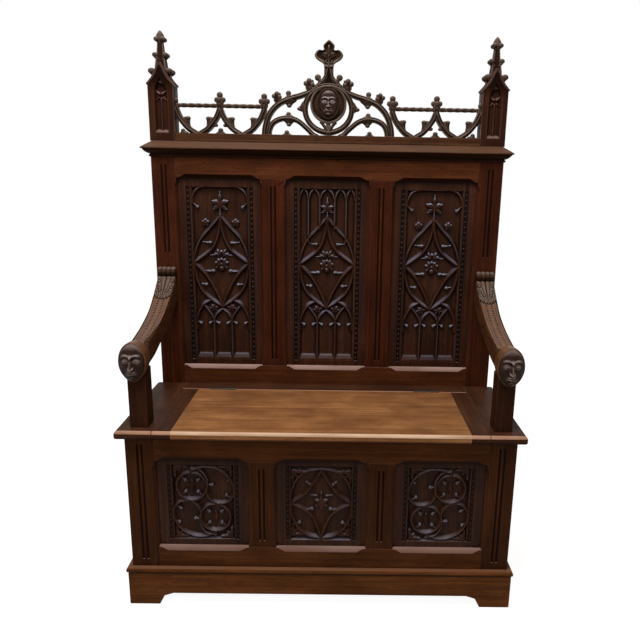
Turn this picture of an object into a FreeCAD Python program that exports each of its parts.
import FreeCAD, Part
import math
import os

Vector = FreeCAD.Vector

# Gothic revival hall bench: a lidded chest on a bracket plinth, with a panelled
# back, two arms that end in carved heads, and an openwork crest between pinnacles.
# Millimetres. X runs to the sitter's left as seen from the front, the front faces -Y,
# Z is up, and the origin is the middle of the footprint on the floor.

# Carcase: the outside of the chest and of the back frame
carcase_width = 1004.0
carcase_depth = 394.0
head_reach = 32.0

# Plinth with bracket feet
plinth_height = 110.0
plinth_thickness = 22.0
plinth_projection = 10.5
plinth_cap_projection = 14.0
plinth_cap_height = 13.0
plinth_quirk = 3.0
foot_width = 80.0
foot_gap_height = 34.0
foot_step_height = 8.0
foot_step_length = 24.0
foot_curve_length = 14.0
corner_block_size = 42.0
corner_block_gap = 4.0

# Chest frame
chest_frame_height = 372.0
frame_thickness = 28.0
chest_stile_width = 73.0
chest_post_depth = 46.0
chest_muntin_width = 72.0
chest_top_rail_height = 66.0
chest_bottom_rail_height = 58.0
tenon_thickness = 9.0
tenon_length = 26.0
tenon_shoulder = 7.0

# How far a cutting shape stands past the wood it cuts
cut_over = 1.0

# Panels in their grooves
panel_setback = 12.0
panel_tongue = 8.0
panel_thickness = 14.0
groove_depth = 9.0
panel_play = 1.0
panel_edge_clearance = 0.4
field_margin = 16.0
field_side_margin = 38.0
field_sink = 7.0
rail_chamfer = 11.0
stile_chamfer = 7.0
chamfer_taper = 18.0
chamfer_stop = 6.0

# Pairs of flutes in the stiles and muntins
flute_radius = 2.7
flute_spacing = 11.6
flute_margin = 20.0

# Chest floor
floor_board_count = 5
floor_board_thickness = 12.0
floor_board_gap = 1.0
floor_cleat_size = 20.0
floor_cleat_lift = 2.0

# Seat: two fixed ends, a fixed hinge rail and the lid between them
seat_thickness = 24.0
seat_overhang = 18.0
seat_front_overhang = 22.0
seat_nosing_radius = 9.0
seat_end_inset = 75.0
seat_seam = 1.5
hinge_rail_depth = 53.0
breadboard_width = 47.0
breadboard_tongue_thickness = 8.0
breadboard_tongue_length = 14.0
lid_rest_clearance = 0.3
seat_cleat_size = 22.0

# Butt hinges
hinge_length = 76.0
hinge_spread = 610.0
hinge_leaf_height = 21.0
hinge_leaf_thickness = 2.0
hinge_knuckle_radius = 3.2
hinge_knuckle_count = 5
hinge_axis_lift = 0.6
hinge_pin_radius = 1.5
hinge_pin_play = 0.06
hinge_knuckle_play = 0.3
hinge_wood_play = 0.4
screw_head_radius = 3.6
screw_shank_radius = 1.8
screw_length = 22.0
screw_head_depth = 1.8
screw_edge_margin = 11.0
screw_count = 3

# Back frame
back_post_width = 69.0
back_post_depth = 56.0
back_muntin_width = 74.0
back_frame_thickness = 30.0
back_rail_above_seat = 58.0
back_rail_below_seat = 66.0
back_opening_height = 560.0
back_top_rail_height = 57.0
back_post_flute_length = 254.0

# Tracery of the carved panels. A rib runs from one point to another, each a share of the
# field's half width across and of the opening's height up. Its bow is how far it stands
# off the straight line, as a share of its length. Last comes its width in millimetres.
rib_width = 8.0
rib_width_thin = 5.0
star_ribs = [
    ((0, 0.90), (0.97, 0.50), -0.12, rib_width),
    ((0, 0.10), (0.97, 0.50), 0.16, rib_width),
    ((0, 0.90), (0.97, 0.50), 0.24, rib_width),
    ((0, 0.10), (0.97, 0.50), -0.24, rib_width),
]
oval_ribs = [
    ((0, 0.80), (1.0, 0.555), 0.123, rib_width),
    ((0, 0.32), (1.0, 0.555), -0.152, rib_width),
    ((0, 0.80), (1.0, 0.555), -0.146, rib_width),
    ((0, 0.32), (1.0, 0.555), 0.089, rib_width),
    ((0.93, 0.288), (0.46, 0.352), -0.117, rib_width),
    ((0.333, 0.234), (0, 0.30), -0.167, rib_width_thin),
    ((0.333, 0.234), (0.667, 0.30), 0.167, rib_width_thin),
    ((1.0, 0.234), (0.667, 0.30), -0.167, rib_width_thin),
    ((0.333, 0.03), (0.333, 0.234), 0, rib_width_thin),
]
corner_ribs = [((1.0, 0.90), (0.5, 0.97), -0.21, rib_width)]
mullion_ribs = [
    ((0.25, 0.82), (0.25, 0.96), 0, rib_width_thin),
    ((0.67, 0.82), (0.67, 0.96), 0, rib_width_thin),
]
# Wheels and daggers: centre from the field's middle and radius as shares of the field's
# half width, then the two angles the rib runs between in degrees
wheel_arcs = [
    (-0.364, 0.593, 0.494, 0, 180),
    (-0.364, 0.593, 0.494, 180, 360),
    (0.549, 0.395, 0.444, 180, 360),
    (0.136, 0.395, 0.852, 0, 125),
]
# Flowers: centre like a rib's end, and radius as a share of the field's half width
star_flower = (0, 0.50, 0.22)
oval_flower = (0, 0.555, 0.36)
fleuron = (0, 0.87, 0.26)

# Cornice
cornice_height = 44.0
cornice_overhang = 22.5
cornice_bead_height = 8.0
cornice_bead_overhang = 4.0
cornice_tip_height = 4.0
cornice_tip_start = 22.0
cornice_top_overhang = 4.0
cove_start_share = 0.42
cove_end_share = 0.82
cove_bend_share = 0.25
cornice_slope_share = 0.55

# Crest rail and its openwork
crest_fillet_height = 6.0
crest_rail_height = 17.0
crest_rail_depth = 36.0
crest_fillet_depth = 46.0
crest_axis_from_rear = 29.0
crest_thickness = 26.0
gable_half_width = 181.0
tracery_band = 15.0
tracery_height = 68.0
finial_ball_radius = 7.6
finial_rise = 105.0
finial_side_reach = 8.5
finial_side_drop = 10.0
cusp_ball_radius = 5.6
rod_radius = 5.5
rod_height = 76.0
rod_socket = 10.0
crest_bay_count = 2
tracery_bow = 0.075
tracery_neck_share = 0.8
# Cusps of the openwork: place and root, as shares of half a bay across and of its height up
tracery_cusps = [((0.55, 0.58), (0.38, 0.42)), ((0.27, 0.33), (0.46, 0.42))]

# Central gable of the crest
gable_band = 16.0
gable_apex_height = 182.0
# Ribs of the gable's right side: two points, each a share of its half width across and of
# its apex height up, and the bow
gable_ribs = [
    ((1.0, 0), (0.75, 0.484), -0.13),
    ((0.75, 0.484), (0.387, 0.604), -0.02),
    ((0.387, 0.604), (0.04, 0.89), 0.07),
    ((0.94, 0), (0.635, 0.253), -0.22),
    ((0.635, 0.253), (0.25, 0), -0.11),
]
# Beads and leaves: centre, the point of the rib they grow from, and radius in millimetres
gable_beads = [
    ((0.17, 0.87), (0.12, 0.80), 8.4),
    ((0.28, 0.76), (0.30, 0.66), 11.4),
    ((0.34, 0.72), (0.32, 0.65), 9.1),
    ((0.63, 0.61), (0.63, 0.542), 7.6),
    ((0.80, 0.58), (0.74, 0.493), 10.6),
    ((0.75, 0.54), (0.74, 0.493), 9.1),
    ((0.615, 0.425), (0.615, 0.508), 5.3),
    ((0.63, 0.155), (0.63, 0.253), 4.6),
]
ring_bead_radius = 6.8
gable_web_thickness = 14.0
gable_web_share = 0.7
gable_bump_share = 0.65
crest_bump_radius = 9.0
stalk_share = 0.6
cross_leaf_share = 0.36
cross_hub_share = 0.42
ring_radius = 66.0
ring_centre_height = 73.0
cross_rise = 40.0
cross_half_span = 40.0
cross_centre_height = 215.0
stem_width = 25.0
stem_foot_share = 0.86
medallion_radius = 51.5
medallion_centre_height = 84.0
medallion_thickness = 13.0
medallion_setback = 4.0
medallion_rim = 6.0
medallion_rim_height = 3.0
medallion_head_height = 80.0
medallion_head_width = 62.0
medallion_head_depth = 22.0
stalk_width = 13.0

# Pinnacles
pinnacle_width = 70.0
pinnacle_depth = 54.0
pinnacle_block_height = 151.0
pinnacle_eave = 7.0
pinnacle_gable_rise = 58.0
pinnacle_total_height = 296.0
ogee_bend_out = 0.50
ogee_bend_up = 0.30
niche_width = 31.0
niche_depth = 8.0
niche_sill = 20.0
niche_spring = 118.0
niche_rise = 42.0
niche_arch_out = 0.78
niche_arch_up = 0.52
spire_foot = 56.0
spire_middle = 24.0
spire_middle_height = 230.0
spire_neck = 18.0
spire_neck_height = 258.0
bud_radius = 19.0
bud_height = 274.0
bud_lobe_out = 0.55
bud_lobe_share = 0.45
bud_core_share = 0.6
spire_hollow = 0.36
crocket_root_share = 0.35
crocket_stalk_share = 0.55
crocket_radius = 7.5
crocket_low_height = 188.0
crocket_low_spread = 25.0
crocket_high_height = 231.0
crocket_high_spread = 17.0

# Arms
arm_centre_inset = 34.5
arm_width_rear = 52.0
arm_width_middle = 46.0
arm_scroll_radius = 15.0
arm_scroll_rise = 12.0
arm_reed_count = 4
arm_top_rear_height = 336.0
arm_top_rear_reach = 24.0
arm_top_middle_height = 255.0
arm_top_middle_reach = 132.0
arm_top_front_height = 219.0
arm_top_front_reach = 242.0
arm_rear_depth = 68.0
arm_under_middle_height = 180.0
arm_under_middle_reach = 184.0
arm_post_size = 46.0
arm_post_inset = 39.0
arm_post_setback = 4.0
arm_post_height = 151.0
arm_post_tenon = 24.0
arm_post_tenon_depth = 20.0
arm_tenon_length = 22.0
arm_tenon_width = 20.0
arm_tenon_margin = 12.0
head_width = 74.0
head_height = 106.0
head_centre_height = 177.0
head_chin_share = 0.54

# Places worked out from the sizes above
half_width = carcase_width / 2
front_reach = max(head_reach, seat_front_overhang, plinth_cap_projection)
rear_y = (carcase_depth + front_reach) / 2
face_y = rear_y - carcase_depth
back_y = rear_y - back_post_depth
back_rail_rear_y = back_y + back_frame_thickness
front_rail_rear_y = face_y + frame_thickness
chest_top = plinth_height + chest_frame_height
seat_top = chest_top + seat_thickness
back_opening_bottom = seat_top + back_rail_above_seat
back_opening_top = back_opening_bottom + back_opening_height
cornice_bottom = back_opening_top + back_top_rail_height
cornice_top = cornice_bottom + cornice_height
crest_z = cornice_top + crest_fillet_height + crest_rail_height
crest_y = rear_y - crest_axis_from_rear
crest_front_y = crest_y - crest_thickness / 2
crest_rear_y = crest_y + crest_thickness / 2
hinge_y = back_y - hinge_rail_depth
hinge_z = seat_top + hinge_axis_lift
seat_end_x = half_width - seat_end_inset
lid_half = seat_end_x - seat_seam
arm_x = half_width - arm_centre_inset
arm_post_x = half_width - arm_post_inset
arm_post_top = seat_top + arm_post_height
reach = 10 * carcase_width
half_turn = 180

pieces = {}


def box(x0, x1, y0, y1, z0, z1):
    """A block between two opposite corners."""
    return Part.makeBox(x1 - x0, y1 - y0, z1 - z0, Vector(x0, y0, z0))


def fused(shapes):
    """One clean solid from pieces of the same timber."""
    whole = shapes[0].fuse(shapes[1:]) if len(shapes) > 1 else shapes[0]
    return whole.removeSplitter()


def cut_all(shape, cutters):
    """The shape without every cutter."""
    return shape.cut(cutters) if cutters else shape


def mirrored(shape):
    """The same piece for the other side of the bench."""
    return shape.mirror(Vector(0, 0, 0), Vector(1, 0, 0))


def path(start, steps, place):
    """Edges from start: a step of one point is a line, a step of two is an arc."""
    edges = []
    here = place(*start)
    for step in steps:
        there = place(*step[-1])
        if len(step) == 1:
            edges.append(Part.LineSegment(here, there).toShape())
        else:
            edges.append(Part.Arc(here, place(*step[0]), there).toShape())
        here = there
    first = place(*start)
    if here.distanceToPoint(first) > 1e-6:
        edges.append(Part.LineSegment(here, first).toShape())
    return Part.Face(Part.Wire(edges))


def xz_prism(start, steps, y0, y1):
    """A front view outline given depth."""
    return path(start, steps, lambda a, b: Vector(a, y0, b)).extrude(Vector(0, y1 - y0, 0))


def yz_prism(start, steps, x0, x1):
    """A side view outline given width."""
    return path(start, steps, lambda a, b: Vector(x0, a, b)).extrude(Vector(x1 - x0, 0, 0))


def xy_prism(start, steps, z0, z1):
    """A plan outline given height."""
    return path(start, steps, lambda a, b: Vector(a, b, z0)).extrude(Vector(0, 0, z1 - z0))


def arc_band(p0, middle, p1, width, y0, y1):
    """A curved rib of even width through three points of its centre line."""
    arc = Part.Arc(Vector(p0[0], 0, p0[1]), Vector(middle[0], 0, middle[1]), Vector(p1[0], 0, p1[1]))
    circle = arc.toShape().Curve
    cx, cz, radius = circle.Center.x, circle.Center.z, circle.Radius

    def off(point, side):
        """The point moved across the rib by half its width."""
        scale = (radius + side * width / 2) / radius
        return (cx + (point[0] - cx) * scale, cz + (point[1] - cz) * scale)

    steps = [(off(middle, 1), off(p1, 1)), (off(p1, -1),), (off(middle, -1), off(p0, -1))]
    return xz_prism(off(p0, 1), steps, y0, y1)


def bowed_band(p0, p1, bow, width, y0, y1):
    """A rib between two points that stands off the straight line by a share of its length."""
    if not bow:
        return line_band(p0, p1, width, y0, y1)
    dx, dz = p1[0] - p0[0], p1[1] - p0[1]
    middle = (p0[0] + dx / 2 - bow * dz, p0[1] + dz / 2 + bow * dx)
    return arc_band(p0, middle, p1, width, y0, y1)


def line_band(p0, p1, width, y0, y1):
    """A straight rib of even width between two points."""
    dx, dz = p1[0] - p0[0], p1[1] - p0[1]
    length = math.hypot(dx, dz)
    nx, nz = -dz / length * width / 2, dx / length * width / 2
    steps = [((p1[0] + nx, p1[1] + nz),), ((p1[0] - nx, p1[1] - nz),), ((p0[0] - nx, p0[1] - nz),)]
    return xz_prism((p0[0] + nx, p0[1] + nz), steps, y0, y1)


def ball(x, y, z, radius):
    """A carved bead."""
    return Part.makeSphere(radius, Vector(x, y, z))


def bead_on_stalk(p0, root, radius):
    """A carved bead of the crest and the stalk that it grows on."""
    deep = radius * stalk_share
    stalk = line_band(p0, root, 2 * deep, crest_y - deep, crest_y + deep)
    return [ball(p0[0], crest_y, p0[1], radius), stalk]


def moulded_slab(start, steps, half, front, rear):
    """A slab whose profile of (projection, height) runs along its front and both ends."""
    top = steps[-1][-1][1]
    front_steps = [tuple((front - out, z) for out, z in step) for step in steps]
    front_steps += [((rear, top),), ((rear, start[1]),)]
    along = yz_prism((front - start[0], start[1]), front_steps, -reach, reach)
    side_steps = [tuple((half + out, z) for out, z in step) for step in steps]
    side_steps += [((-reach, top),), ((-reach, start[1]),)]
    right = xz_prism((half + start[0], start[1]), side_steps, -reach, rear)
    return along.common(right).common(mirrored(right))


def chamfer_cutter(start, end, inward_a, inward_b, size):
    """The waste of a chamfer along an arris, run out to nothing at both stops."""
    along = Vector(end - start).normalize()
    out = (inward_a + inward_b) * -1.0

    def section(distance):
        """The chamfer's triangle at a distance along the arris."""
        here = start + along * distance
        return [here + inward_a * size, here + inward_b * size, here + out]

    near = section(chamfer_taper)
    far = section((end - start).Length - chamfer_taper)
    faces = []
    for i in range(3):
        j = (i + 1) % 3
        faces.append(Part.Face(Part.makePolygon([start, near[i], near[j], start])))
        faces.append(Part.Face(Part.makePolygon([near[i], near[j], far[j], far[i], near[i]])))
        faces.append(Part.Face(Part.makePolygon([end, far[j], far[i], end])))
    solid = Part.Solid(Part.makeShell(faces))
    if solid.Volume < 0:
        solid.reverse()
    return solid


def opening_chamfers(x0, x1, z0, z1, y):
    """Stopped chamfers round the front of a panel opening."""
    back, up, across = Vector(0, 1, 0), Vector(0, 0, 1), Vector(1, 0, 0)
    s = chamfer_stop
    return [
        chamfer_cutter(Vector(x0 + s, y, z0), Vector(x1 - s, y, z0), back, up * -1, rail_chamfer),
        chamfer_cutter(Vector(x0 + s, y, z1), Vector(x1 - s, y, z1), back, up, rail_chamfer),
        chamfer_cutter(Vector(x0, y, z0 + s), Vector(x0, y, z1 - s), back, across * -1, stile_chamfer),
        chamfer_cutter(Vector(x1, y, z0 + s), Vector(x1, y, z1 - s), back, across, stile_chamfer),
    ]


def flute_cutters(x, z0, z1, y):
    """A pair of round flutes with round ends, side by side on a face."""
    cutters = []
    for side in (-1, 1):
        fx = x + side * flute_spacing / 2
        low, high = z0 + flute_radius, z1 - flute_radius
        cutters.append(Part.makeCylinder(flute_radius, high - low, Vector(fx, y, low)))
        cutters.append(ball(fx, y, low, flute_radius))
        cutters.append(ball(fx, y, high, flute_radius))
    return cutters


def groove(x0, x1, z0, z1, y):
    """The space of a panel's groove round an opening."""
    near = y + panel_setback
    return box(x0 - groove_depth, x1 + groove_depth, near, near + panel_tongue,
               z0 - groove_depth, z1 + groove_depth)


def panel_blank(x0, x1, z0, z1, y):
    """A panel for an opening, with its tongue in the groove."""
    near = y + panel_setback
    lap = groove_depth - panel_play
    tongue = box(x0 - lap, x1 + lap, near, near + panel_tongue, z0 - lap, z1 + lap)
    c = panel_edge_clearance
    return tongue.fuse(box(x0 + c, x1 - c, near, near + panel_thickness, z0 + c, z1 - c))


def carved_panel(x0, x1, z0, z1, y, ribs, arcs, flowers):
    """A panel with a sunk field and the main ribs of its tracery left standing."""
    near = y + panel_setback
    far = near + field_sink + cut_over
    centre, middle, tall = (x0 + x1) / 2, (z0 + z1) / 2, z1 - z0
    half = (x1 - x0) / 2 - field_side_margin
    field = box(centre - half, centre + half, near - cut_over, near + field_sink,
                z0 + field_margin, z1 - field_margin)
    shapes = []
    for start, end, bow, width in ribs:
        p0 = (centre + start[0] * half, z0 + start[1] * tall)
        p1 = (centre + end[0] * half, z0 + end[1] * tall)
        shapes.append(bowed_band(p0, p1, bow, width, near, far))
    for u, w, radius, start, end in arcs:
        points = []
        for angle in (start, (start + end) / 2, end):
            turn = math.radians(angle)
            points.append((centre + half * (u + radius * math.cos(turn)),
                           middle + half * (w + radius * math.sin(turn))))
        shapes.append(arc_band(*points, rib_width, near, far))
    for u, w, radius in flowers:
        axis = Vector(centre + u * half, near, z0 + w * tall)
        shapes.append(Part.makeCylinder(radius * half, field_sink + cut_over, axis, Vector(0, 1, 0)))
    blank = panel_blank(x0, x1, z0, z1, y)
    kept = fused(shapes).common(field)
    return blank.cut(field).fuse(kept).removeSplitter()


def both_sides(ribs):
    """Ribs and the same ribs on the other side of the panel."""
    return ribs + [((-a[0], a[1]), (-b[0], b[1]), -bow, width) for a, b, bow, width in ribs]


# Panel openings of the chest front and of the back
chest_opening_low = plinth_height + chest_bottom_rail_height
chest_opening_high = chest_top - chest_top_rail_height
chest_inner = half_width - chest_stile_width
chest_opening_width = (2 * chest_inner - 2 * chest_muntin_width) / 3
chest_edges = [-chest_inner, -chest_inner + chest_opening_width,
               -chest_opening_width / 2, chest_opening_width / 2,
               chest_inner - chest_opening_width, chest_inner]
back_inner = half_width - back_post_width
back_opening_width = (2 * back_inner - 2 * back_muntin_width) / 3
back_edges = [-back_inner, -back_inner + back_opening_width,
              -back_opening_width / 2, back_opening_width / 2,
              back_inner - back_opening_width, back_inner]
side_opening_front = face_y + chest_post_depth
back_rail_low = seat_top - back_rail_below_seat


def tenon_z(z0, z1, y, x0, x1):
    """A rail's tenon: its height less the shoulders, centred in the frame's thickness."""
    mid = y + panel_setback + panel_tongue / 2
    return box(x0, x1, mid - tenon_thickness / 2, mid + tenon_thickness / 2,
               z0 + tenon_shoulder, z1 - tenon_shoulder)


def tenon_x(x0, x1, y, z0, z1):
    """A muntin's tenon: its width less the shoulders, centred in the frame's thickness."""
    mid = y + panel_setback + panel_tongue / 2
    return box(x0 + tenon_shoulder, x1 - tenon_shoulder,
               mid - tenon_thickness / 2, mid + tenon_thickness / 2, z0, z1)


def make_plinth():
    """Mitred plinth boards with a cap moulding and bracket feet, a back board and blocks."""
    cap = plinth_height - plinth_cap_height
    nose = plinth_cap_height / 2
    steps = [
        ((plinth_projection, cap - plinth_quirk),),
        ((plinth_projection - plinth_quirk / 2, cap - plinth_quirk / 2), (plinth_projection, cap)),
        ((plinth_cap_projection - nose / 3, cap),),
        ((plinth_cap_projection, cap + nose), (plinth_cap_projection - nose / 3, plinth_height)),
    ]
    slab = moulded_slab((plinth_projection, 0), steps, half_width, face_y, rear_y)
    inner_x = half_width + plinth_projection - plinth_thickness
    inner_y = face_y - plinth_projection + plinth_thickness
    ring = slab.cut(box(-inner_x, inner_x, inner_y, rear_y, 0, plinth_height))
    outer_x = half_width + plinth_cap_projection
    outer_y = face_y - plinth_cap_projection
    run = outer_x - inner_x
    mitre = inner_y - outer_y
    front_area = xy_prism((-outer_x, outer_y),
                          [((outer_x, outer_y),), ((outer_x - run, outer_y + mitre),),
                           ((-outer_x + run, outer_y + mitre),)], 0, plinth_height)
    front = ring.common(front_area)
    rest = ring.cut(front_area)
    right = rest.common(box(0, reach, -reach, reach, 0, plinth_height))

    def feet(low, high, make):
        """The space between two bracket feet, with a curve and a step at each end."""
        gap = foot_gap_height
        step = gap - foot_step_height
        c = foot_curve_length
        flat = c + foot_step_length
        steps = [((low + c / 2, step / 2), (low + c, step)), ((low + flat, gap),),
                 ((high - flat, gap),), ((high - c, step),), ((high - c / 2, step / 2), (high, -cut_over))]
        return make((low, -cut_over), steps)

    foot_x = half_width + plinth_projection - foot_width
    gap_front = feet(-foot_x, foot_x, lambda a, s: xz_prism(a, s, -reach, 0))
    foot_y = face_y - plinth_projection + foot_width
    gap_side = feet(foot_y, rear_y - foot_width, lambda a, s: yz_prism(a, s, 0, reach))
    pieces["plinth_front"] = front.cut(gap_front)
    pieces["plinth_right"] = right.cut(gap_side)
    pieces["plinth_left"] = mirrored(pieces["plinth_right"])
    pieces["plinth_back"] = box(-inner_x, inner_x, rear_y - plinth_thickness, rear_y,
                                foot_gap_height, plinth_height)
    blocks = []
    for side in (-1, 1):
        for low in (inner_y, rear_y - plinth_thickness - corner_block_size):
            x0, x1 = sorted((side * inner_x, side * (inner_x - corner_block_size)))
            blocks.append(box(x0, x1, low, low + corner_block_size,
                              corner_block_gap, plinth_height))
    pieces["plinth_corner_blocks"] = Part.Compound(blocks)


def make_chest():
    """Front posts, rails, muntins and panels, framed sides, the back and the floor."""
    low, high = chest_opening_low, chest_opening_high
    grooves = []
    chamfers = []
    for i in range(0, 6, 2):
        grooves.append(groove(chest_edges[i], chest_edges[i + 1], low, high, face_y))
        chamfers += opening_chamfers(chest_edges[i], chest_edges[i + 1], low, high, face_y)
    top_tenon = tenon_z(high, chest_top, face_y, -chest_inner - tenon_length, chest_inner + tenon_length)
    low_tenon = tenon_z(plinth_height, low, face_y, -chest_inner - tenon_length, chest_inner + tenon_length)
    muntin_tenons = []
    for i in (1, 3):
        muntin_tenons.append(tenon_x(chest_edges[i], chest_edges[i + 1], face_y,
                                     low - tenon_length, high + tenon_length))
    top = box(-chest_inner, chest_inner, face_y, front_rail_rear_y, high, chest_top)
    arm_tenons = [arm_post_tenon_box(), mirrored(arm_post_tenon_box())]
    pieces["chest_top_rail"] = cut_all(top.fuse(top_tenon), grooves + chamfers + muntin_tenons + arm_tenons)
    bottom = box(-chest_inner, chest_inner, face_y, front_rail_rear_y, plinth_height, low)
    pieces["chest_bottom_rail"] = cut_all(bottom.fuse(low_tenon), grooves + chamfers + muntin_tenons)
    for i, side in ((1, "left"), (3, "right")):
        x0, x1 = chest_edges[i], chest_edges[i + 1]
        body = box(x0, x1, face_y, front_rail_rear_y, low, high).fuse(muntin_tenons[(i - 1) // 2])
        flutes = flute_cutters((x0 + x1) / 2, low + flute_margin, high - flute_margin, face_y)
        pieces["chest_muntin_" + side] = cut_all(body, grooves + chamfers + flutes)

    # Side frame between the front post and the back post, drawn for the right side
    side_x = half_width - frame_thickness
    side_mid = half_width - panel_setback - panel_tongue / 2
    side_groove = box(half_width - panel_setback - panel_tongue, half_width - panel_setback,
                      side_opening_front - groove_depth, back_y + groove_depth,
                      low - groove_depth, high + groove_depth)
    side_tenons = []
    side_rails = []
    for z0, z1 in ((plinth_height, low), (high, chest_top)):
        tenon = box(side_mid - tenon_thickness / 2, side_mid + tenon_thickness / 2,
                    side_opening_front - tenon_length, back_y + tenon_length,
                    z0 + tenon_shoulder, z1 - tenon_shoulder)
        rail = box(side_x, half_width, side_opening_front, back_y, z0, z1)
        side_tenons.append(tenon)
        side_rails.append(rail.fuse(tenon).cut(side_groove))
    lap = groove_depth - panel_play
    c = panel_edge_clearance
    side_panel = box(half_width - panel_setback - panel_tongue, half_width - panel_setback,
                     side_opening_front - lap, back_y + lap, low - lap, high + lap)
    side_panel = side_panel.fuse(box(half_width - panel_setback - panel_thickness,
                                     half_width - panel_setback, side_opening_front + c,
                                     back_y - c, low + c, high - c))
    post = box(chest_inner, half_width, face_y, side_opening_front, plinth_height, chest_top)
    flutes = flute_cutters((chest_inner + half_width) / 2, plinth_height + flute_margin,
                           chest_top - flute_margin, face_y)
    cutters = grooves + chamfers + flutes + [top_tenon, low_tenon, side_groove, arm_post_tenon_box()]
    # The side rails' tenons are mitred short where they meet the front rails' tenons
    front_tenon_end = box(0, chest_inner + tenon_length, face_y, front_rail_rear_y, 0, chest_top)
    side_tenons = [t.cut(front_tenon_end) for t in side_tenons]
    side_rails = [r.cut(front_tenon_end) for r in side_rails]
    pieces["chest_post_front_right"] = cut_all(post, cutters + side_tenons)
    pieces["chest_side_rails_right"] = Part.Compound(side_rails)
    pieces["chest_side_panel_right"] = side_panel.removeSplitter()
    for name in ("chest_post_front", "chest_side_rails", "chest_side_panel"):
        pieces[name + "_left"] = mirrored(pieces[name + "_right"])

    make_chest_panels(low, high)

    # Back of the chest below the seat
    rail = box(-back_inner, back_inner, back_y, back_rail_rear_y, plinth_height, low)
    tenon = tenon_z(plinth_height, low, back_y, -back_inner - tenon_length, back_inner + tenon_length)
    back_groove = groove(-back_inner, back_inner, low, back_rail_low, back_y)
    pieces["chest_back_rail"] = rail.fuse(tenon).cut(back_groove)
    panel = panel_blank(-back_inner, back_inner, low, back_rail_low, back_y)
    pieces["chest_back_panel"] = panel.removeSplitter()

    # Floor boards on a front and a back cleat
    cleat_z = plinth_height + floor_cleat_lift
    cleat_top = cleat_z + floor_cleat_size
    front_cleat = box(-chest_inner, chest_inner, front_rail_rear_y,
                      front_rail_rear_y + floor_cleat_size, cleat_z, cleat_top)
    rear_cleat = box(-back_inner, back_inner, back_y - floor_cleat_size, back_y, cleat_z, cleat_top)
    pieces["chest_floor_cleats"] = Part.Compound([front_cleat, rear_cleat])
    pitch = 2 * side_x / floor_board_count
    corner_front = box(chest_inner, half_width, face_y, side_opening_front, 0, chest_top)
    boards = []
    for i in range(floor_board_count):
        x0 = -side_x + i * pitch + floor_board_gap / 2
        board = box(x0, x0 + pitch - floor_board_gap, front_rail_rear_y, back_y,
                    cleat_top, cleat_top + floor_board_thickness)
        boards.append(board.cut([corner_front, mirrored(corner_front)]))
    pieces["chest_floor_boards"] = Part.Compound(boards)


def make_chest_panels(low, high):
    """Three carved panels of the chest front: a star between two panels of wheels."""
    turned = [(-u, -w, radius, start + half_turn, end + half_turn)
              for u, w, radius, start, end in wheel_arcs]
    panel = carved_panel(chest_edges[0], chest_edges[1], low, high, face_y, [], wheel_arcs + turned, [])
    pieces["chest_panel_left"] = panel
    pieces["chest_panel_right"] = mirrored(panel)
    pieces["chest_panel_center"] = carved_panel(chest_edges[2], chest_edges[3], low, high, face_y,
                                                both_sides(star_ribs), [], [star_flower])


def arm_post_tenon_box():
    """The arm post's lower tenon, through the seat end into the chest's front post."""
    y = face_y + arm_post_setback + arm_post_size / 2
    half = arm_post_tenon / 2
    return box(arm_post_x - half, arm_post_x + half, y - half, y + half,
               chest_top - arm_post_tenon_depth, seat_top)


def screw(x, y, z, direction):
    """A countersunk screw that goes in along Y from a leaf's face."""
    head = Part.makeCone(screw_head_radius, screw_shank_radius, screw_head_depth,
                         Vector(x, y, z), Vector(0, direction, 0))
    shank = Part.makeCylinder(screw_shank_radius, screw_length - screw_head_depth,
                              Vector(x, y + direction * screw_head_depth, z), Vector(0, direction, 0))
    return head.fuse(shank).removeSplitter()


def knuckle(x0, x1, radius):
    """A length of the hinge's barrel."""
    return Part.makeCylinder(radius, x1 - x0, Vector(x0, hinge_y, hinge_z), Vector(1, 0, 0))


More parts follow.
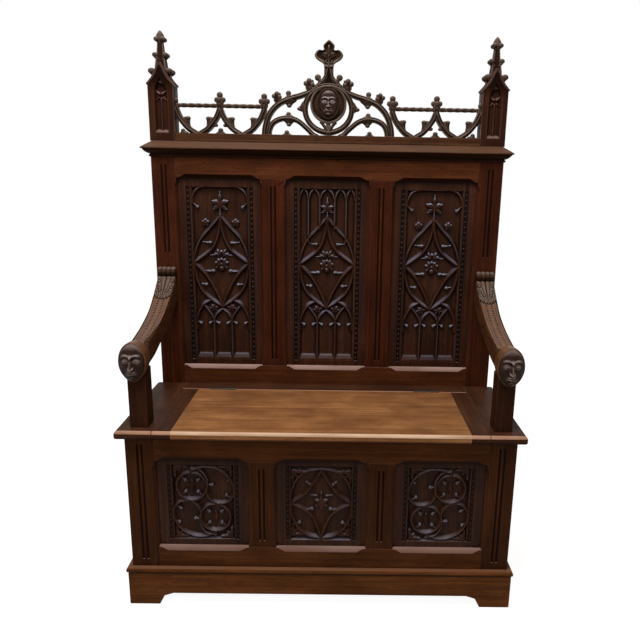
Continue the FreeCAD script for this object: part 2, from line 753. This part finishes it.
def make_seat():
    """The seat ends, the hinge rail with its cleat, the lid and its two hinges."""
    r = seat_nosing_radius
    k = r * (1 - math.cos(math.radians(45)))
    steps = [
        ((seat_overhang - k, chest_top + k), (seat_overhang, chest_top + r)),
        ((seat_overhang, seat_top - r),),
        ((seat_overhang - k, seat_top - k), (seat_overhang - r, seat_top)),
    ]
    front = face_y - (seat_front_overhang - seat_overhang)
    slab = moulded_slab((seat_overhang - r, chest_top), steps, half_width, front, back_y)
    end = slab.common(box(seat_end_x, reach, -reach, reach, 0, reach)).cut(arm_post_tenon_box())
    pieces["seat_end_right"] = end
    pieces["seat_end_left"] = mirrored(end)

    fixed_cut = []
    lid_cut = []
    fixed_leaves = []
    lid_leaves = []
    pins = []
    fixed_screws = []
    lid_screws = []
    seam = seat_seam / 2
    leaf_low = seat_top - hinge_leaf_height
    for side in (-1, 1):
        x0 = side * hinge_spread / 2 - hinge_length / 2
        x1 = x0 + hinge_length
        width = hinge_length / hinge_knuckle_count
        bore = knuckle(x0, x1, hinge_pin_radius)
        fixed = [box(x0, x1, hinge_y + seam, hinge_y + seam + hinge_leaf_thickness, leaf_low, hinge_z)]
        moving = [box(x0, x1, hinge_y - seam - hinge_leaf_thickness, hinge_y - seam, leaf_low, hinge_z)]
        fixed_clear = []
        moving_clear = []
        for i in range(hinge_knuckle_count):
            a, b = x0 + i * width, x0 + (i + 1) * width
            gap = hinge_knuckle_play / 2
            tube = knuckle(a + gap, b - gap, hinge_knuckle_radius)
            clear = knuckle(a - gap, b + gap, hinge_knuckle_radius + hinge_knuckle_play)
            (moving if i % 2 else fixed).append(tube)
            (fixed_clear if i % 2 else moving_clear).append(clear)
        fixed_body = fixed[0].cut(fixed_clear).fuse(fixed[1:]).cut(bore)
        wide_bore = knuckle(x0, x1, hinge_pin_radius + hinge_pin_play)
        moving_body = moving[0].cut(moving_clear).fuse(moving[1:]).cut(wide_bore)
        screw_z = leaf_low + (hinge_leaf_height - hinge_knuckle_radius) / 2
        span = hinge_length - 2 * screw_edge_margin
        for i in range(screw_count):
            sx = x0 + screw_edge_margin + span * i / (screw_count - 1)
            fixed_screws.append(screw(sx, hinge_y + seam, screw_z, 1))
            lid_screws.append(screw(sx, hinge_y - seam, screw_z, -1))
        fixed_leaves.append(fixed_body.cut(fixed_screws[-screw_count:]).removeSplitter())
        lid_leaves.append(moving_body.cut(lid_screws[-screw_count:]).removeSplitter())
        pins.append(bore)
        barrel = knuckle(x0 - hinge_wood_play, x1 + hinge_wood_play, hinge_knuckle_radius + hinge_wood_play)
        fixed_cut += [barrel, fixed[0]]
        lid_cut += [barrel, moving[0]]

    rail = slab.common(box(-seat_end_x, seat_end_x, hinge_y + seam, back_y, 0, reach))
    pieces["seat_hinge_rail"] = cut_all(rail, fixed_cut + fixed_screws)
    pieces["seat_cleat"] = box(-back_inner, back_inner, back_y - seat_cleat_size, back_y,
                               chest_top - seat_cleat_size, chest_top)
    lid = slab.common(box(-lid_half, lid_half, -reach, hinge_y - seam,
                          chest_top + lid_rest_clearance, reach))
    inner = lid_half - breadboard_width
    mid = chest_top + seat_thickness / 2
    tongue = box(-inner - breadboard_tongue_length, inner + breadboard_tongue_length, -reach, reach,
                 mid - breadboard_tongue_thickness / 2, mid + breadboard_tongue_thickness / 2)
    tongue = tongue.common(box(-reach, reach, face_y, hinge_y - 2 * seat_nosing_radius, 0, reach))
    board = lid.common(box(-inner, inner, -reach, reach, 0, reach)).fuse(lid.common(tongue))
    pieces["lid_board"] = cut_all(board.removeSplitter(), lid_cut + lid_screws)
    breadboard = lid.common(box(inner, reach, -reach, reach, 0, reach)).cut(tongue)
    pieces["lid_breadboard_right"] = breadboard
    pieces["lid_breadboard_left"] = mirrored(breadboard)
    pieces["hinge_leaves_fixed"] = Part.Compound(fixed_leaves)
    pieces["hinge_leaves_lid"] = Part.Compound(lid_leaves)
    pieces["hinge_pins"] = Part.Compound(pins)
    pieces["hinge_screws_fixed"] = Part.Compound(fixed_screws)
    pieces["hinge_screws_lid"] = Part.Compound(lid_screws)


def make_back():
    """Back posts from the plinth to the cornice, rails, muntins and carved panels."""
    low, high = back_opening_bottom, back_opening_top
    grooves = []
    chamfers = []
    for i in range(0, 6, 2):
        grooves.append(groove(back_edges[i], back_edges[i + 1], low, high, back_y))
        chamfers += opening_chamfers(back_edges[i], back_edges[i + 1], low, high, back_y)
    chest_low, chest_high = chest_opening_low, chest_opening_high
    lower_groove = groove(-back_inner, back_inner, chest_low, back_rail_low, back_y)
    reach_x = back_inner + tenon_length
    tenons = [tenon_z(plinth_height, chest_low, back_y, -reach_x, reach_x),
              tenon_z(back_rail_low, low, back_y, -reach_x, reach_x),
              tenon_z(high, cornice_bottom, back_y, -reach_x, reach_x)]
    muntin_tenons = []
    for i in (1, 3):
        muntin_tenons.append(tenon_x(back_edges[i], back_edges[i + 1], back_y,
                                     low - tenon_length, high + tenon_length))
    rail = box(-back_inner, back_inner, back_y, back_rail_rear_y, back_rail_low, low).fuse(tenons[1])
    pieces["back_bottom_rail"] = cut_all(rail, grooves + chamfers + muntin_tenons + [lower_groove])
    rail = box(-back_inner, back_inner, back_y, back_rail_rear_y, high, cornice_bottom).fuse(tenons[2])
    pieces["back_top_rail"] = cut_all(rail, grooves + chamfers + muntin_tenons)
    for i, side in ((1, "left"), (3, "right")):
        x0, x1 = back_edges[i], back_edges[i + 1]
        body = box(x0, x1, back_y, back_rail_rear_y, low, high).fuse(muntin_tenons[(i - 1) // 2])
        flutes = flute_cutters((x0 + x1) / 2, low + flute_margin, high - flute_margin, back_y)
        pieces["back_muntin_" + side] = cut_all(body, grooves + chamfers + flutes)
    side_mid = half_width - panel_setback - panel_tongue / 2
    side_cuts = [box(half_width - panel_setback - panel_tongue, half_width - panel_setback,
                     back_y - cut_over, back_y + groove_depth,
                     chest_low - groove_depth, chest_high + groove_depth)]
    for z0, z1 in ((plinth_height, chest_low), (chest_high, chest_top)):
        side_cuts.append(box(side_mid - tenon_thickness / 2, side_mid + tenon_thickness / 2,
                             back_y - cut_over, back_y + tenon_length,
                             z0 + tenon_shoulder, z1 - tenon_shoulder))
    post = box(back_inner, half_width, back_y, rear_y, plinth_height, cornice_bottom)
    flute_top = cornice_bottom - flute_margin
    flutes = flute_cutters((back_inner + half_width) / 2, flute_top - back_post_flute_length,
                           flute_top, back_y)
    pieces["back_post_right"] = cut_all(post, grooves + chamfers + flutes + tenons
                                        + side_cuts + [lower_groove, arm_tenon_box()])
    pieces["back_post_left"] = mirrored(pieces["back_post_right"])
    make_back_panels(low, high)


def make_back_panels(low, high):
    """Three carved panels of the back: a star in a pointed oval over three lancets."""
    ribs = both_sides(oval_ribs + corner_ribs)
    flowers = [oval_flower, fleuron]
    panel = carved_panel(back_edges[0], back_edges[1], low, high, back_y, ribs, [], flowers)
    pieces["back_panel_left"] = panel
    pieces["back_panel_right"] = mirrored(panel)
    ribs = both_sides(oval_ribs + mullion_ribs)
    pieces["back_panel_center"] = carved_panel(back_edges[2], back_edges[3], low, high, back_y,
                                               ribs, [], flowers)


def make_cornice():
    """Cornice across the back: a bead, a cove, a tip and a sloping top."""
    z = cornice_bottom
    tip = z + cornice_tip_start
    bead = cornice_bead_overhang
    cove_height = cornice_tip_start - cornice_bead_height
    steps = [
        ((bead, z + cornice_bead_height / 2), (0, z + cornice_bead_height)),
        ((cornice_overhang * cove_start_share, z + cornice_bead_height + cove_height * cove_bend_share),
         (cornice_overhang * cove_end_share, tip)),
        ((cornice_overhang, tip),),
        ((cornice_overhang, tip + cornice_tip_height),),
        ((cornice_overhang * cornice_slope_share, (tip + cornice_top) / 2),
         (-cornice_top_overhang, cornice_top)),
    ]
    pieces["cornice"] = moulded_slab((0, z), steps, half_width, back_y, rear_y)


def make_crest():
    """The crest rail, the rods and the openwork each side of the gable."""
    inner = half_width - pinnacle_width
    fillet = box(-inner, inner, crest_y - crest_fillet_depth / 2, crest_y + crest_fillet_depth / 2,
                 cornice_top, cornice_top + crest_fillet_height)
    rail = box(-inner, inner, crest_y - crest_rail_depth / 2, crest_y + crest_rail_depth / 2,
               cornice_top + crest_fillet_height, crest_z)
    rod = rod_solid()
    bay = (inner - gable_half_width) / crest_bay_count
    half = bay / 2
    bumps = [gable_half_width * gable_bump_share]
    bumps += [gable_half_width + bay * (i + 1) for i in range(crest_bay_count - 1)]
    rail_shapes = [fillet, rail]
    for x in bumps:
        for side in (-1, 1):
            rail_shapes.append(ball(side * x, crest_y, crest_z, crest_bump_radius))
    pieces["crest_base_rail"] = fused(rail_shapes)
    shapes = []
    y0, y1 = crest_front_y, crest_rear_y
    for i in range(crest_bay_count):
        left = gable_half_width + i * bay
        low = left + half
        for foot, side in ((left, 1), (left + bay, -1)):
            start = (foot + side * tracery_band / 4, crest_z + tracery_height)
            end = (low + side * tracery_band / 2, crest_z - tracery_band / 2)
            shapes.append(bowed_band(start, end, -side * tracery_bow, tracery_band, y0, y1))
            for place, root in tracery_cusps:
                p0 = (foot + side * half * place[0], crest_z + tracery_height * place[1])
                p1 = (foot + side * half * root[0], crest_z + tracery_height * root[1])
                shapes += bead_on_stalk(p0, p1, cusp_ball_radius)
    for i in range(crest_bay_count + 1):
        x = gable_half_width + i * bay
        neck = line_band((x, crest_z + tracery_height * tracery_neck_share), (x, crest_z + finial_rise),
                         tracery_band, y0 + crest_thickness / 5, y1 - crest_thickness / 5)
        shapes.append(neck)
        shapes.append(ball(x, crest_y, crest_z + finial_rise, finial_ball_radius))
        for side in (-1, 1):
            shapes.append(ball(x + side * finial_side_reach, crest_y,
                               crest_z + finial_rise - finial_side_drop, finial_ball_radius))
    room = box(0, inner, y0 - crest_thickness, y1 + crest_thickness, crest_z, reach)
    tracery = fused(shapes).common(room).cut([rod, gable_bands()[0]])
    pieces["crest_tracery_right"] = tracery.removeSplitter()
    pieces["crest_tracery_left"] = mirrored(pieces["crest_tracery_right"])
    pieces["crest_rod_right"] = rod
    pieces["crest_rod_left"] = mirrored(rod)


def rod_solid():
    """A turned rod from the gable's shoulder into the pinnacle."""
    x0 = gable_half_width - 2 * rod_socket
    x1 = half_width - pinnacle_width + rod_socket
    return Part.makeCylinder(rod_radius, x1 - x0, Vector(x0, crest_y, crest_z + rod_height), Vector(1, 0, 0))


def gable_point(point):
    """A point of the gable's right side from its shares across and up."""
    return (point[0] * gable_half_width, crest_z + point[1] * gable_apex_height)


def gable_bands():
    """The gable's ribs on the right side, the shoulder first."""
    bands = []
    for start, end, bow in gable_ribs:
        bands.append(bowed_band(gable_point(start), gable_point(end), bow, gable_band,
                                crest_front_y, crest_rear_y))
    return bands


def make_gable():
    """Ogee gable with a ring, crockets and a leaf cross, and the head medallion."""
    y0, y1 = crest_front_y, crest_rear_y
    shapes = gable_bands()
    for place, root, radius in gable_beads:
        shapes += bead_on_stalk(gable_point(place), gable_point(root), radius)
    ring_z = crest_z + ring_centre_height
    shapes += bead_on_stalk((ring_radius + gable_band, ring_z), (ring_radius, ring_z), ring_bead_radius)
    sides = shapes + [mirrored(shape) for shape in shapes]
    centre = Vector(0, y0, ring_z)
    outer = Part.makeCylinder(ring_radius + gable_band / 2, crest_thickness, centre, Vector(0, 1, 0))
    inner = Part.makeCylinder(ring_radius - gable_band / 2, crest_thickness, centre, Vector(0, 1, 0))
    sides.append(outer.cut(inner))
    inset = crest_thickness / 6
    stem_low = crest_z + gable_apex_height * stem_foot_share
    web = ring_radius * gable_web_share
    web_y = crest_y - gable_web_thickness / 2
    sides.append(xz_prism((0, stem_low), [((web, ring_z + web),), ((-web, ring_z + web),)],
                          web_y, web_y + gable_web_thickness))
    cross = crest_z + cross_centre_height
    sides.append(line_band((0, stem_low), (0, cross), stem_width, y0 + inset, y1 - inset))
    leaf = cross_half_span * cross_leaf_share
    for x, z in ((-cross_half_span + leaf, cross), (cross_half_span - leaf, cross),
                 (0, cross + cross_rise - leaf)):
        steps = [((x + leaf, z),), ((x, z + leaf),), ((x - leaf, z),)]
        sides.append(xz_prism((x, z - leaf), steps, y0 + inset, y1 - inset))
    sides.append(Part.makeCylinder(cross_half_span * cross_hub_share, crest_thickness - 2 * inset,
                                   Vector(0, y0 + inset, cross + leaf / 3), Vector(0, 1, 0)))
    room = box(-reach, reach, -reach, reach, crest_z, reach)
    medallion = make_medallion()
    rod = rod_solid()
    gable = fused(sides).common(room).cut([medallion_housing(), rod, mirrored(rod)])
    pieces["crest_gable"] = gable.removeSplitter()
    pieces["crest_medallion"] = medallion.common(room).removeSplitter()


def medallion_housing():
    """The medallion's disc and stalk, as the space they take in the gable."""
    y0 = crest_front_y + medallion_setback
    z = crest_z + medallion_centre_height
    front = Vector(0, y0 - medallion_rim_height, z)
    deep = medallion_thickness + medallion_rim_height
    disc = Part.makeCylinder(medallion_radius, deep, front, Vector(0, 1, 0))
    stalk = line_band((0, crest_z), (0, z), stalk_width, y0, y0 + medallion_thickness)
    return disc.fuse(stalk)


def make_medallion():
    """A round medallion with a raised rim and a hooded head, on a stalk."""
    y0 = crest_front_y + medallion_setback
    z = crest_z + medallion_centre_height
    sunk = Part.makeCylinder(medallion_radius - medallion_rim, medallion_rim_height,
                             Vector(0, y0 - medallion_rim_height, z), Vector(0, 1, 0))
    half = medallion_head_width / 2
    head = ovoid(0, y0 - medallion_head_depth + half, z, half,
                 medallion_head_height / 2, medallion_head_height / 2)
    head = head.common(box(-reach, reach, -reach, y0 + medallion_thickness / 2, 0, reach))
    return fused([medallion_housing().cut(sunk), head])


def ovoid(x, y, z, half, top, chin):
    """A rounded head form turned about its upright axis, with its own height above and below."""
    turn = Vector(x, y, z)
    side = turn + Vector(half, 0, 0)
    crown, base = turn + Vector(0, 0, top), turn - Vector(0, 0, chin)
    upper = Part.ArcOfEllipse(Part.Ellipse(crown, side, turn), 0, math.pi / 2).toShape()
    lower = Part.ArcOfEllipse(Part.Ellipse(base, side, turn), 0, math.pi / 2).toShape()
    axis = Part.LineSegment(base, crown).toShape()
    face = Part.Face(Part.Wire([axis, upper, lower]))
    return face.revolve(turn, Vector(0, 0, 1), 360)


def make_pinnacles():
    """Square pinnacles with a niche, an ogee gabled roof and a crocketed spire."""
    x = half_width - pinnacle_width / 2
    y = rear_y - pinnacle_depth / 2
    z = cornice_top
    hx, hy = pinnacle_width / 2, pinnacle_depth / 2
    eaves = z + pinnacle_block_height
    apex = eaves + pinnacle_gable_rise
    block = box(x - hx, x + hx, y - hy, y + hy, z, eaves)
    out = hx + pinnacle_eave
    drip = eaves - pinnacle_eave / 2
    bend_x, bend_z = ogee_bend_out * out, eaves + ogee_bend_up * pinnacle_gable_rise
    roof_steps = [((x + bend_x, bend_z), (x, apex)), ((x - bend_x, bend_z), (x - out, eaves)),
                  ((x - out, drip),), ((x + out, drip),), ((x + out, eaves),)]
    roof = xz_prism((x + out, eaves), roof_steps, y - hy, y + hy)
    half = niche_width / 2
    sill, spring, top = z + niche_sill, z + niche_spring, z + niche_spring + niche_rise
    bulge = (niche_arch_out * half, spring + niche_arch_up * niche_rise)
    niche = xz_prism((x - half, sill), [((x + half, sill),), ((x + half, spring),),
                                        ((x + bulge[0], bulge[1]), (x, top)),
                                        ((x - bulge[0], bulge[1]), (x - half, spring))],
                     y - hy - cut_over, y - hy + niche_depth)

    def spire_side(centre, share):
        """Outline of the hollow sided spire, up to its neck."""
        foot, mid, neck = [share * width / 2 for width in (spire_foot, spire_middle, spire_neck)]
        zm, zn = z + spire_middle_height, z + spire_neck_height
        low_mid = (mid + spire_hollow * (foot - mid), (eaves + zm) / 2)
        return [((centre + low_mid[0], low_mid[1]), (centre + mid, zm)), ((centre + neck, zn),),
                ((centre + neck, z + bud_height),), ((centre - neck, z + bud_height),),
                ((centre - neck, zn),), ((centre - mid, zm),),
                ((centre - low_mid[0], low_mid[1]), (centre - foot, eaves))]

    depth_share = pinnacle_depth / pinnacle_width
    core = xz_prism((x + spire_foot / 2, eaves), spire_side(x, 1), y - reach, y + reach)
    side_start = (y + depth_share * spire_foot / 2, eaves)
    core = core.common(yz_prism(side_start, spire_side(y, depth_share), x - reach, x + reach))
    body = fused([block, roof]).cut([niche, core, rod_solid()])
    tip = z + pinnacle_total_height
    lobe, core_radius = bud_radius * bud_lobe_share, bud_radius * bud_core_share
    bud = [core, ball(x, y, tip - lobe, lobe)]
    for sx, sy in ((-1, 0), (1, 0), (0, -1), (0, 1)):
        out = bud_radius * bud_lobe_out
        bud.append(ball(x + sx * out, y + sy * out, z + bud_height, lobe))
    bud_low = z + bud_height - lobe / 2
    bud.append(Part.makeCylinder(core_radius, tip - lobe - bud_low, Vector(x, y, bud_low)))
    crockets = [(crocket_low_height, crocket_low_spread), (crocket_high_height, crocket_high_spread)]
    for height, spread in crockets:
        for sx in (-1, 1):
            for sy in (-1, 1):
                cx, cy = x + sx * spread, y + sy * spread * depth_share
                bud.append(ball(cx, cy, z + height, crocket_radius))
                root = spread * crocket_root_share
                stalk_foot = Vector(x + sx * root, y + sy * root * depth_share, z + height - crocket_radius)
                lean = Vector(cx, cy, z + height) - stalk_foot
                thick = crocket_radius * crocket_stalk_share
                bud.append(Part.makeCylinder(thick, lean.Length, stalk_foot, lean))
    spire = fused(bud).cut(body)
    pieces["pinnacle_right"] = body.removeSplitter()
    pieces["pinnacle_spire_right"] = spire
    pieces["pinnacle_left"] = mirrored(pieces["pinnacle_right"])
    pieces["pinnacle_spire_left"] = mirrored(spire)


def arm_tenon_box():
    """The arm's tenon in the back post."""
    half = arm_tenon_width / 2
    top = seat_top + arm_top_rear_height
    return box(arm_x - half, arm_x + half, back_y - cut_over, back_y + arm_tenon_length,
               top - arm_rear_depth + arm_tenon_margin, top - arm_tenon_margin)


def arm_roll():
    """The reeded roll at the top of an arm, turned about its axis across the arm."""
    roll_y = back_y - arm_scroll_radius
    roll_z = seat_top + arm_top_rear_height + arm_scroll_rise
    reed = arm_width_rear / arm_reed_count
    valley = arm_scroll_radius - reed / 4
    x0 = arm_x - arm_width_rear / 2
    steps = [((x0, roll_z + valley),)]
    for i in range(arm_reed_count):
        crown = (x0 + (i + 0.5) * reed, roll_z + arm_scroll_radius)
        steps.append((crown, (x0 + (i + 1) * reed, roll_z + valley)))
    steps.append(((x0 + arm_width_rear, roll_z),))
    outline = path((x0, roll_z), steps, lambda a, b: Vector(a, roll_y, b))
    return outline.revolve(Vector(x0, roll_y, roll_z), Vector(1, 0, 0), 360)


def make_arms():
    """Hollow curved arms with a reeded roll at the back and a hooded head in front."""
    z = seat_top
    post_front = face_y + arm_post_setback
    post_rear = post_front + arm_post_size
    post_y = (post_front + post_rear) / 2
    top_rear = (back_y - arm_top_rear_reach, z + arm_top_rear_height)
    top_middle = (back_y - arm_top_middle_reach, z + arm_top_middle_height)
    top_front = (back_y - arm_top_front_reach, z + arm_top_front_height)
    under_middle = (back_y - arm_under_middle_reach, z + arm_under_middle_height)
    under_rear = (back_y, z + arm_top_rear_height - arm_rear_depth)
    head_y = face_y - head_reach + head_width / 2
    head_z = z + head_centre_height
    steps = [
        ((back_y, top_rear[1]),), (top_rear,), (top_middle, top_front),
        ((post_front, head_z + head_height / 3),), ((post_front, arm_post_top),),
        ((post_rear, arm_post_top),), (under_middle, under_rear),
    ]
    wide, narrow = arm_width_rear / 2, arm_width_middle / 2
    side_view = yz_prism(under_rear, steps, arm_x - wide, arm_x + wide)
    middle_y = back_y - arm_top_middle_reach
    plan = xy_prism((arm_x - wide, back_y), [
        ((arm_x + wide, back_y),), ((arm_x + narrow, middle_y),), ((arm_x + narrow, post_front),),
        ((arm_x - narrow, post_front),), ((arm_x - narrow, middle_y),)], 0, reach)
    body = side_view.common(plan)
    chin = head_height * head_chin_share
    head = ovoid(arm_x, head_y, head_z, head_width / 2, head_height - chin, chin)
    parts = [body, arm_roll(), head]
    post = box(arm_post_x - arm_post_size / 2, arm_post_x + arm_post_size / 2,
               post_front, post_rear, z, arm_post_top)
    half = arm_post_tenon / 2
    upper = box(arm_post_x - half, arm_post_x + half, post_y - half, post_y + half,
                arm_post_top, arm_post_top + arm_post_tenon_depth)
    hidden = box(0, reach, post_front, post_rear, 0, arm_post_top)
    arm = fused(parts).cut([hidden, upper, box(-reach, reach, back_y, reach, 0, reach)])
    arm = arm.fuse(arm_tenon_box().common(box(-reach, reach, back_y - cut_over, reach, 0, reach)))
    pieces["arm_right"] = arm.removeSplitter()
    pieces["arm_left"] = mirrored(pieces["arm_right"])
    pieces["arm_post_right"] = post.fuse([upper, arm_post_tenon_box()]).removeSplitter()
    pieces["arm_post_left"] = mirrored(pieces["arm_post_right"])


make_plinth()
make_chest()
make_seat()
make_back()
make_cornice()
make_crest()
make_gable()
make_pinnacles()
make_arms()

os.makedirs("parts", exist_ok=True)
for name, shape in pieces.items():
    shape.exportStep("parts/" + name + ".step")
    print(name, len(shape.Solids), "solid", round(shape.Volume / 1000), "cm3", shape.isValid())
print(len(pieces), "nodes")
